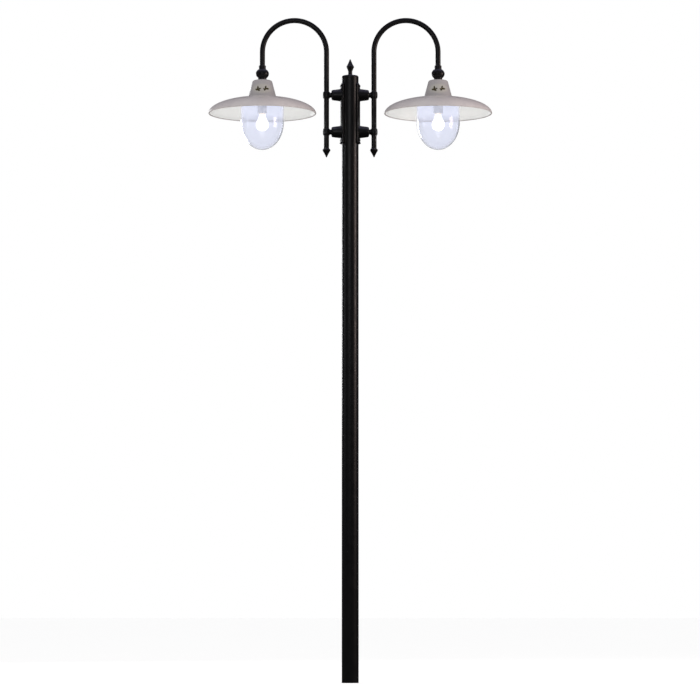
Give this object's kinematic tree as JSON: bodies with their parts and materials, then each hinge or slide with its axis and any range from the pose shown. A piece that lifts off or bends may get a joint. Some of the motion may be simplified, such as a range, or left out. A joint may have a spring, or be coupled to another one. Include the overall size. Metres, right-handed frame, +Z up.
{
  "type": "twin arm street lamp",
  "caption": "Tall black lamp post with two crook arms, each holding a pale ceramic shade over a clear glass globe and bulb.",
  "frame": {"origin": "centre of the pole's open foot, at the bottom of the pole", "axes": "+Z up along the pole, +X towards the right-hand lamp, -Y towards the viewer"},
  "size_m": [1.359, 0.518, 3.1705],
  "materials": {
    "pole_paint": "satin black powder coat on steel tube",
    "arm_paint": "satin black powder coat on steel tube",
    "cast_paint": "satin black paint over a fine cast texture",
    "fastener_paint": "satin black paint",
    "zinc_steel": "zinc plated",
    "brass": "plain brass",
    "rubber": "matt rubber",
    "lead_sheath": "flexible cable sheath",
    "porcelain": "white glazed porcelain",
    "shade_glaze": "pale pinkish grey glaze outside, white glaze inside, small painted sprig on the neck",
    "clear_glass": "clear blown glass with a faint blue tint",
    "opal_glass": "frosted opal glass, lit"
  },
  "bodies": {
    "pole": {"pole_tube": "pole_paint", "pole_cap": "cast_paint", "pole_finial": "cast_paint", "bracket_left": "cast_paint", "bracket_right": "cast_paint", "saddle_bolts": "fastener_paint", "saddle_washers": "zinc_steel", "saddle_nuts": "fastener_paint", "eye_set_screws": "fastener_paint", "gear_tray": "zinc_steel", "terminal_block": "porcelain", "terminal_screws": "brass", "lead_grommets": "rubber", "bracket_lead_left": "lead_sheath", "bracket_lead_right": "lead_sheath"},
    "arm_left": {"arm_tube_left": "arm_paint", "arm_tip_left": "cast_paint", "arm_collar_left": "cast_paint", "knuckle_left": "cast_paint", "arm_lead_left": "lead_sheath", "shade_gasket_left": "rubber", "shade_left": "shade_glaze", "inner_gasket_left": "rubber", "clamp_washer_left": "zinc_steel", "clamp_nut_left": "zinc_steel", "stem_left": "zinc_steel", "globe_holder_left": "zinc_steel", "holder_nuts_left": "zinc_steel", "globe_seal_left": "rubber", "lampholder_left": "porcelain", "socket_shell_left": "brass", "centre_contact_left": "brass"},
    "arm_right": {"arm_tube_right": "arm_paint", "arm_tip_right": "cast_paint", "arm_collar_right": "cast_paint", "knuckle_right": "cast_paint", "arm_lead_right": "lead_sheath", "shade_gasket_right": "rubber", "shade_right": "shade_glaze", "inner_gasket_right": "rubber", "clamp_washer_right": "zinc_steel", "clamp_nut_right": "zinc_steel", "stem_right": "zinc_steel", "globe_holder_right": "zinc_steel", "holder_nuts_right": "zinc_steel", "globe_seal_right": "rubber", "lampholder_right": "porcelain", "socket_shell_right": "brass", "centre_contact_right": "brass"},
    "globe_left": {"globe_left": "clear_glass"},
    "globe_right": {"globe_right": "clear_glass"},
    "bulb_left": {"bulb_glass_left": "opal_glass", "bulb_cap_left": "brass", "bulb_tip_left": "zinc_steel"},
    "bulb_right": {"bulb_glass_right": "opal_glass", "bulb_cap_right": "brass", "bulb_tip_right": "zinc_steel"}
  },
  "joints": [
    {"name": "arm_left_swivel", "type": "hinge", "parent": "pole", "child": "arm_left", "pos_m": [-0.1135, 0, 2.7], "axis": [0, 0, 1], "range_deg": [-45, 45]},
    {"name": "globe_left_drop", "type": "slide", "parent": "arm_left", "child": "globe_left", "axis": [0, 0, -1], "range_m": [0, 0.25]},
    {"name": "bulb_left_unscrew", "type": "slide", "parent": "arm_left", "child": "bulb_left", "axis": [0, 0, -1], "range_m": [0, 0.028]},
    {"name": "arm_right_swivel", "type": "hinge", "parent": "pole", "child": "arm_right", "pos_m": [0.1135, 0, 2.7], "axis": [0, 0, 1], "range_deg": [-45, 45]},
    {"name": "globe_right_drop", "type": "slide", "parent": "arm_right", "child": "globe_right", "axis": [0, 0, -1], "range_m": [0, 0.25]},
    {"name": "bulb_right_unscrew", "type": "slide", "parent": "arm_right", "child": "bulb_right", "axis": [0, 0, -1], "range_m": [0, 0.028]}
  ]
}
